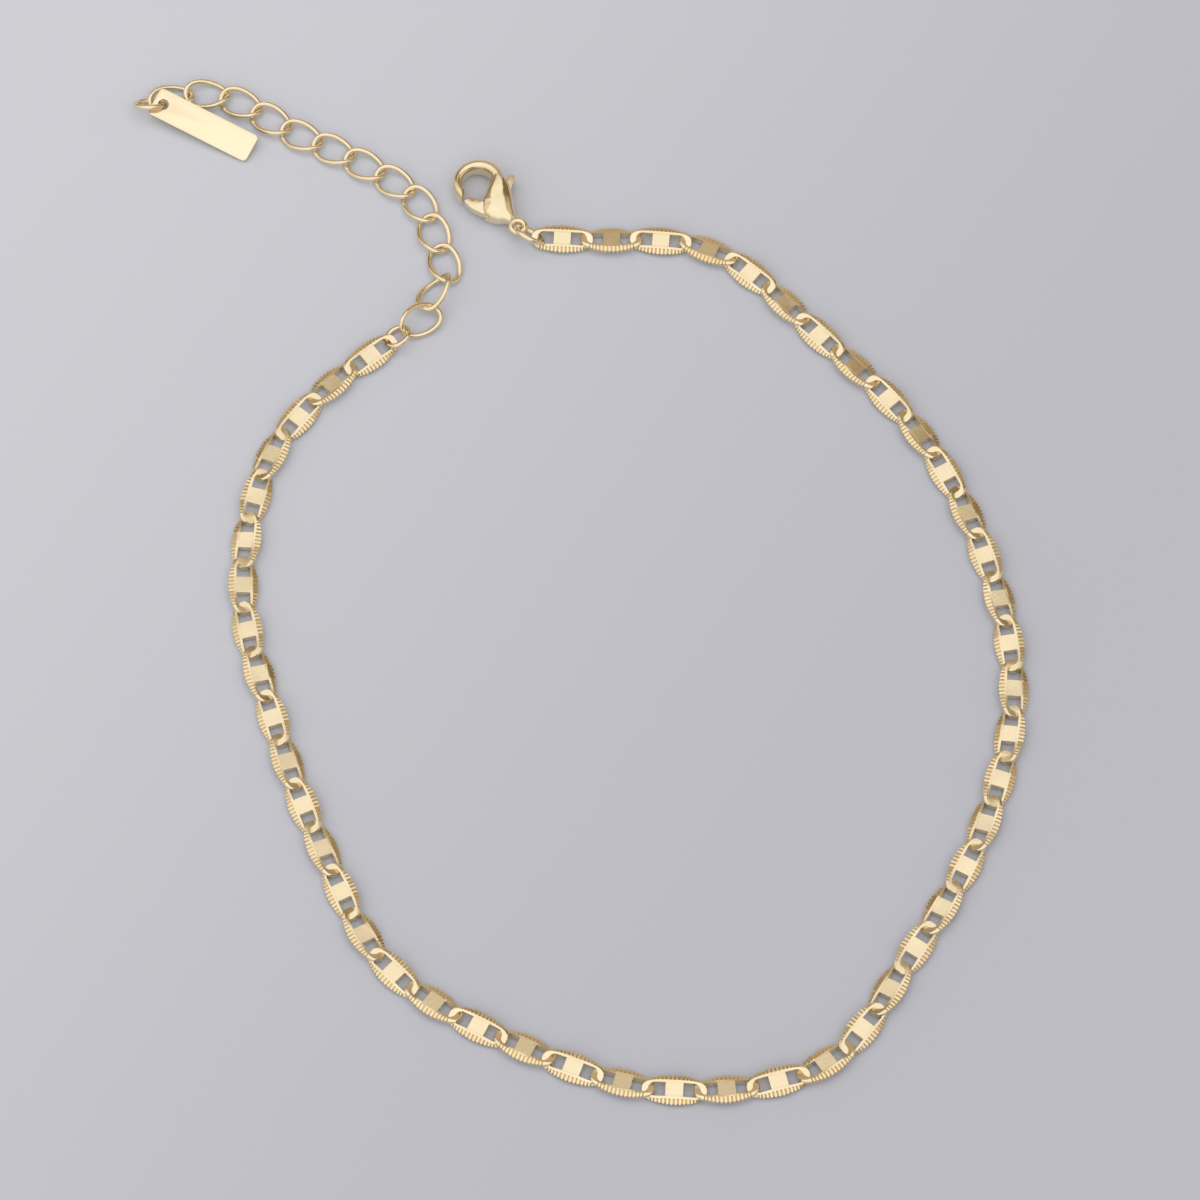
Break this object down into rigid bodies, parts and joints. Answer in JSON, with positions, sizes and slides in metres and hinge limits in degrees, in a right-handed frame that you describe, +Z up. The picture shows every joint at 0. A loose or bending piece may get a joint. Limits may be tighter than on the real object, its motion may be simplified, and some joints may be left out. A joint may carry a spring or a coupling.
{
  "type": "chain anklet",
  "caption": "Gold chain anklet lying open: flat pierced links, a twisted-link extender with a bar tag, and a lobster clasp.",
  "frame": {"origin": "middle of the anklet's bounds, at the height of the surface that it lies on", "axes": "+Z up from the surface, +Y from the bottom of the loop towards the clasp and the extender, +X to the right of someone facing along +Y"},
  "size_m": [0.0868, 0.11, 0.0026],
  "materials": {
    "milled_gold": "polished yellow gold, finely milled on its rims",
    "polished_gold": "polished yellow gold"
  },
  "bodies": {
    "anklet": {"flat_chain_clasp_half": "milled_gold", "flat_chain_extender_half": "milled_gold", "extender_link_01": "polished_gold", "extender_link_02": "polished_gold", "extender_link_03": "polished_gold", "extender_link_04": "polished_gold", "extender_link_05": "polished_gold", "extender_link_06": "polished_gold", "extender_link_07": "polished_gold", "extender_link_08": "polished_gold", "extender_link_09": "polished_gold", "extender_link_10": "polished_gold", "extender_link_11": "polished_gold", "extender_link_12": "polished_gold", "extender_link_13": "polished_gold", "clasp_jump_ring": "polished_gold", "extender_jump_ring": "polished_gold", "tag_ring": "polished_gold", "tag": "polished_gold", "clasp_body": "polished_gold"},
    "lever": {"clasp_lever": "polished_gold"}
  },
  "joints": [
    {"name": "clasp_lever_hinge", "type": "hinge", "parent": "anklet", "child": "lever", "pos_m": [-0.00762, 0.04013, 0.0012], "axis": [0, 0, 1], "range_deg": [-25, 0], "stiffness_Nm_per_rad": 0.01, "springref_deg": 11.46}
  ]
}
